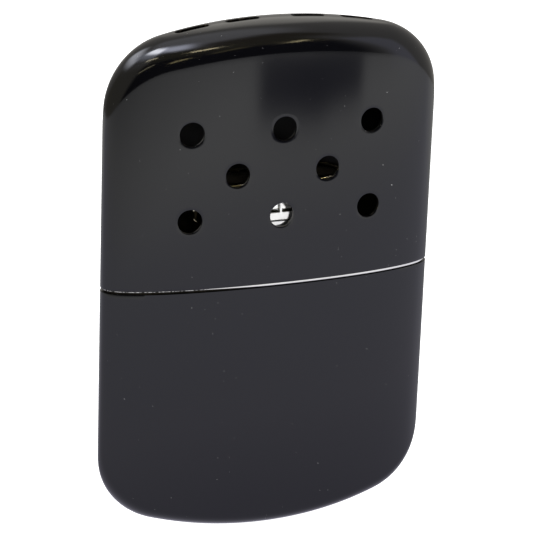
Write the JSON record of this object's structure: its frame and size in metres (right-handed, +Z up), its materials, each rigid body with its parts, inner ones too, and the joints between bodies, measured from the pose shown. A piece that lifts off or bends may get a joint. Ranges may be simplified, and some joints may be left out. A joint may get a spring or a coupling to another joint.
{
  "type": "hand warmer",
  "caption": "Flat oval pocket hand warmer: drawn steel tank with cotton, lift-off catalytic burner with a glass-fibre mat, and a vented cap that slides off the collar.",
  "frame": {"origin": "centre of the small flat at the bottom of the tank, which the warmer stands on", "axes": "+Z up through the cap, X along the width of the flat oval, the front face towards -Y"},
  "size_m": [0.066, 0.0138, 0.1005],
  "materials": {
    "black_enamel": "smooth black baked enamel, high satin gloss",
    "chrome_plate": "bright chrome plate",
    "burner_steel": "bright rolled sheet steel",
    "glass_fibre": "matted glass fibre with a grey platinum deposit",
    "wick_felt": "dense needled felt",
    "cotton_wool": "loose cotton wool"
  },
  "bodies": {
    "tank": {"tank_case": "black_enamel", "collar_sleeve": "chrome_plate", "tank_top_plate": "chrome_plate", "filler_neck": "chrome_plate", "neck_screen": "burner_steel", "wick_felt": "wick_felt", "cotton_lower": "cotton_wool", "cotton_middle": "cotton_wool", "cotton_upper": "cotton_wool"},
    "cap": {"cap_shell": "black_enamel"},
    "burner": {"burner_skirt": "burner_steel", "burner_cage": "burner_steel", "mat_shelf": "burner_steel", "catalyst_mat": "glass_fibre"}
  },
  "joints": [
    {"name": "cap_slide", "type": "slide", "parent": "tank", "child": "cap", "axis": [0, 0, 1], "range_m": [0, 0.045]},
    {"name": "burner_slide", "type": "slide", "parent": "tank", "child": "burner", "axis": [0, 0, 1], "range_m": [0, 0.014]}
  ]
}
